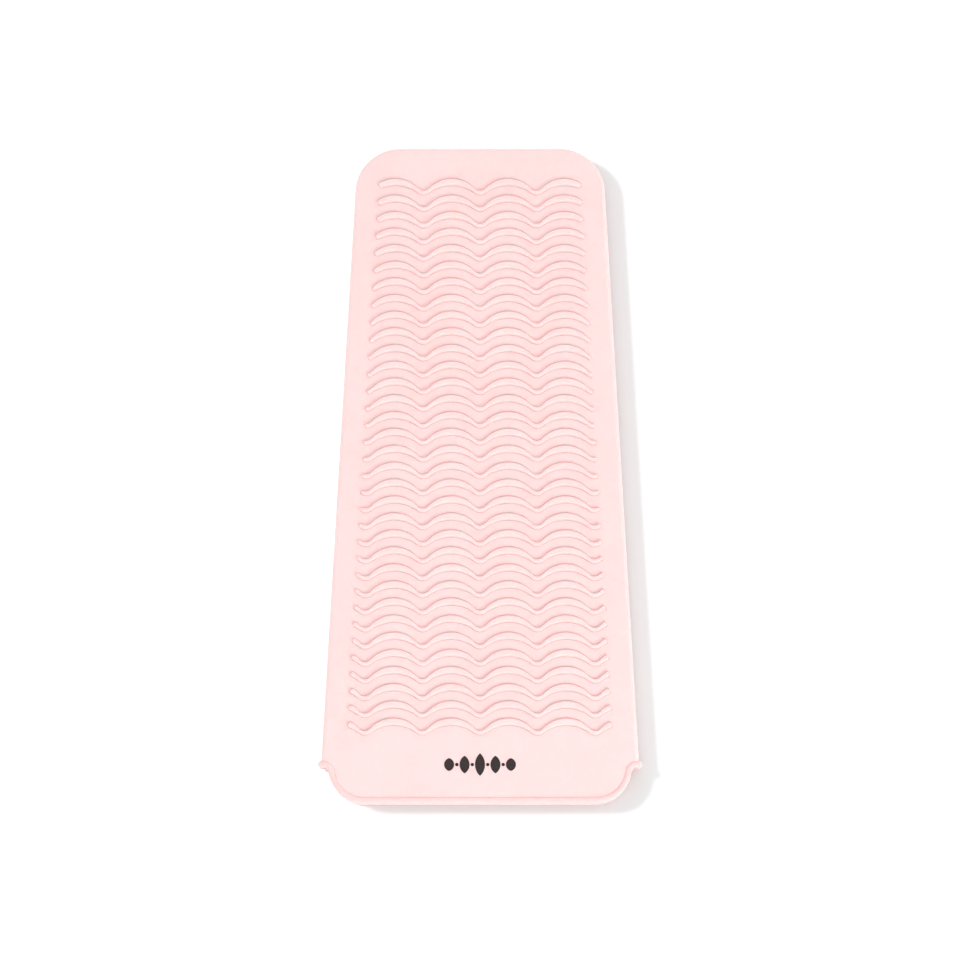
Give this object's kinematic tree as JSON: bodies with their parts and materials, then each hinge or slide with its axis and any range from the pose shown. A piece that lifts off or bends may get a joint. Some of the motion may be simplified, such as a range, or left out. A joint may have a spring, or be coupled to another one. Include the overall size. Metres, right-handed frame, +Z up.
{
  "type": "flat iron travel sleeve",
  "caption": "Flat tapered silicone pouch that holds a hot hair straightener, closed at its narrow end and open at the wide end, with wave ribs on both faces.",
  "frame": {"origin": "on the surface that the sleeve lies on, under the middle of its length and width", "axes": "+Y along the sleeve to its closed narrow end, -Y out of the open mouth; +Z up out of the printed front face; +X to the right when the closed end is away from the viewer"},
  "size_m": [0.1432, 0.296, 0.015],
  "materials": {
    "silicone": "smooth matt, fine moulded grain",
    "rib_silicone": "smooth matt",
    "rim_silicone": "smooth matt",
    "bond": "matt",
    "ink": "matt ink"
  },
  "bodies": {
    "sleeve": {"front_shell": "silicone", "back_shell": "silicone", "seam_bond": "bond", "right_mouth_ear": "rim_silicone", "left_mouth_ear": "rim_silicone", "front_wave_rib_01": "rib_silicone", "front_wave_rib_02": "rib_silicone", "front_wave_rib_03": "rib_silicone", "front_wave_rib_04": "rib_silicone", "front_wave_rib_05": "rib_silicone", "front_wave_rib_06": "rib_silicone", "front_wave_rib_07": "rib_silicone", "front_wave_rib_08": "rib_silicone", "front_wave_rib_09": "rib_silicone", "front_wave_rib_10": "rib_silicone", "front_wave_rib_11": "rib_silicone", "front_wave_rib_12": "rib_silicone", "front_wave_rib_13": "rib_silicone", "front_wave_rib_14": "rib_silicone", "front_wave_rib_15": "rib_silicone", "front_wave_rib_16": "rib_silicone", "front_wave_rib_17": "rib_silicone", "front_wave_rib_18": "rib_silicone", "front_wave_rib_19": "rib_silicone", "front_wave_rib_20": "rib_silicone", "front_wave_rib_21": "rib_silicone", "front_wave_rib_22": "rib_silicone", "front_wave_rib_23": "rib_silicone", "front_wave_rib_24": "rib_silicone", "front_wave_rib_25": "rib_silicone", "front_wave_rib_26": "rib_silicone", "front_wave_rib_27": "rib_silicone", "front_wave_rib_28": "rib_silicone", "front_wave_rib_29": "rib_silicone", "front_wave_rib_30": "rib_silicone", "front_wave_rib_31": "rib_silicone", "front_wave_rib_32": "rib_silicone", "front_wave_rib_33": "rib_silicone", "back_wave_ribs": "rib_silicone", "printed_mark": "ink"},
    "front_lip": {"front_lip_panel": "silicone", "front_lip_bead": "rim_silicone"},
    "back_lip": {"back_lip_panel": "silicone", "back_lip_bead": "rim_silicone"}
  },
  "joints": [
    {"name": "front_lip_flex", "type": "hinge", "parent": "sleeve", "child": "front_lip", "pos_m": [0, -0.1364, 0.0142], "axis": [-1, 0, 0], "range_deg": [0, 40], "stiffness_Nm_per_rad": 0.02},
    {"name": "back_lip_flex", "type": "hinge", "parent": "sleeve", "child": "back_lip", "pos_m": [0, -0.1364, 0.0008], "axis": [1, 0, 0], "range_deg": [0, 40], "stiffness_Nm_per_rad": 0.02}
  ]
}
